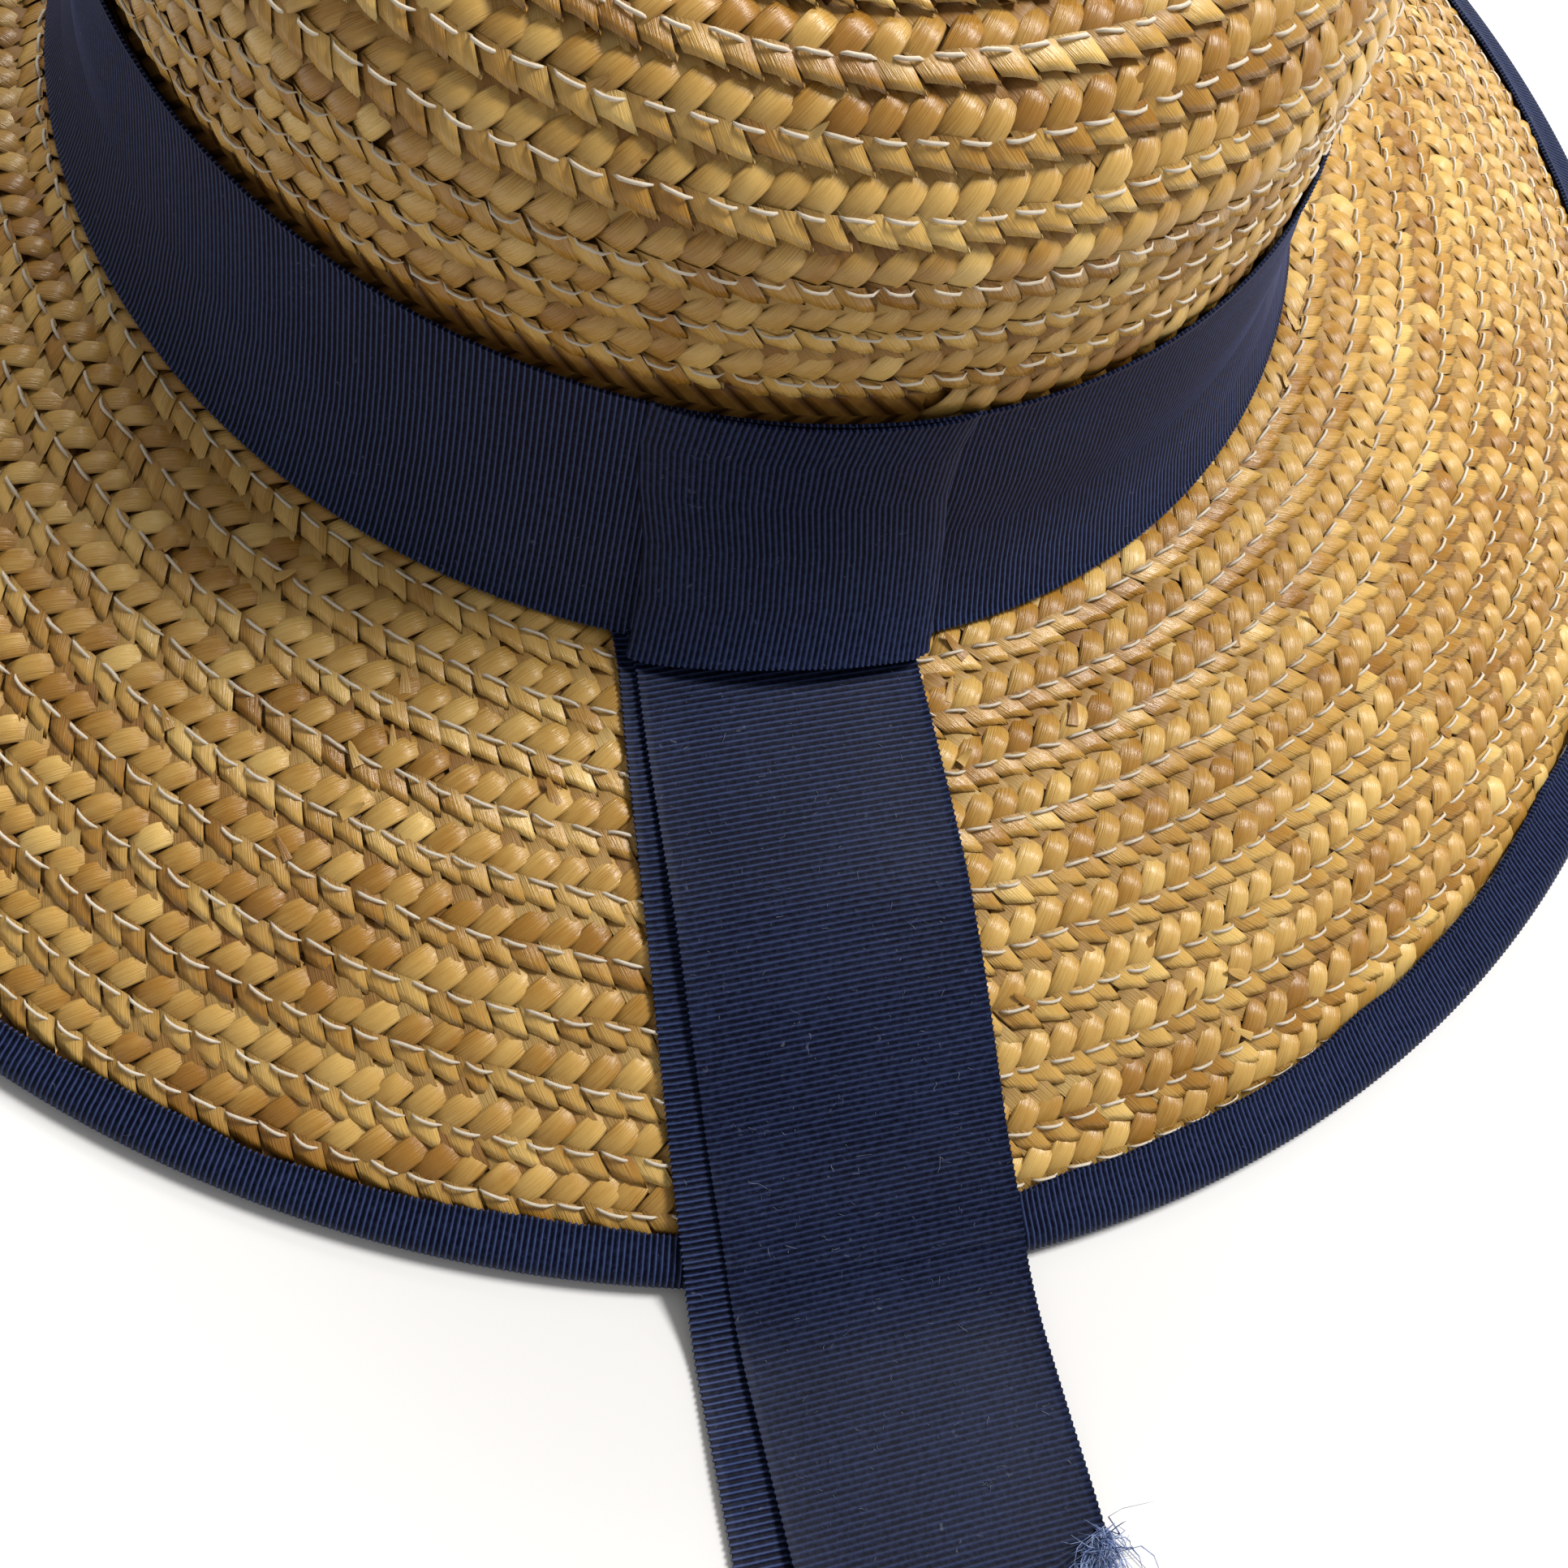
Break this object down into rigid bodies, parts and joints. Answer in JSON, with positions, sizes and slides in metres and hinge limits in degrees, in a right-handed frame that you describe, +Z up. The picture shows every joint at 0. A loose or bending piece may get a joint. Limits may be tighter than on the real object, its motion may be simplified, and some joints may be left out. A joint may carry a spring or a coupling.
{
  "type": "straw boater hat with ribbon band and tails",
  "caption": "Straw boater hat of lapped plait rows with a flat crown, a sloping bound brim, and a navy ribbon band whose tails run over the brim.",
  "frame": {"origin": "on the surface the hat lies on, under the middle of the whole hat with its tails", "axes": "+Z up through the crown, the tails leave the hat towards -Y, +X across the hat"},
  "size_m": [0.3336, 0.4482, 0.1139],
  "materials": {
    "straw": "satin",
    "ribbon": "matte"
  },
  "bodies": {
    "root": {"crown": "straw", "brim": "straw", "hat_band": "ribbon", "brim_binding": "ribbon", "knot_cover": "ribbon", "front_tail": "ribbon", "back_tail": "ribbon"}
  },
  "joints": []
}
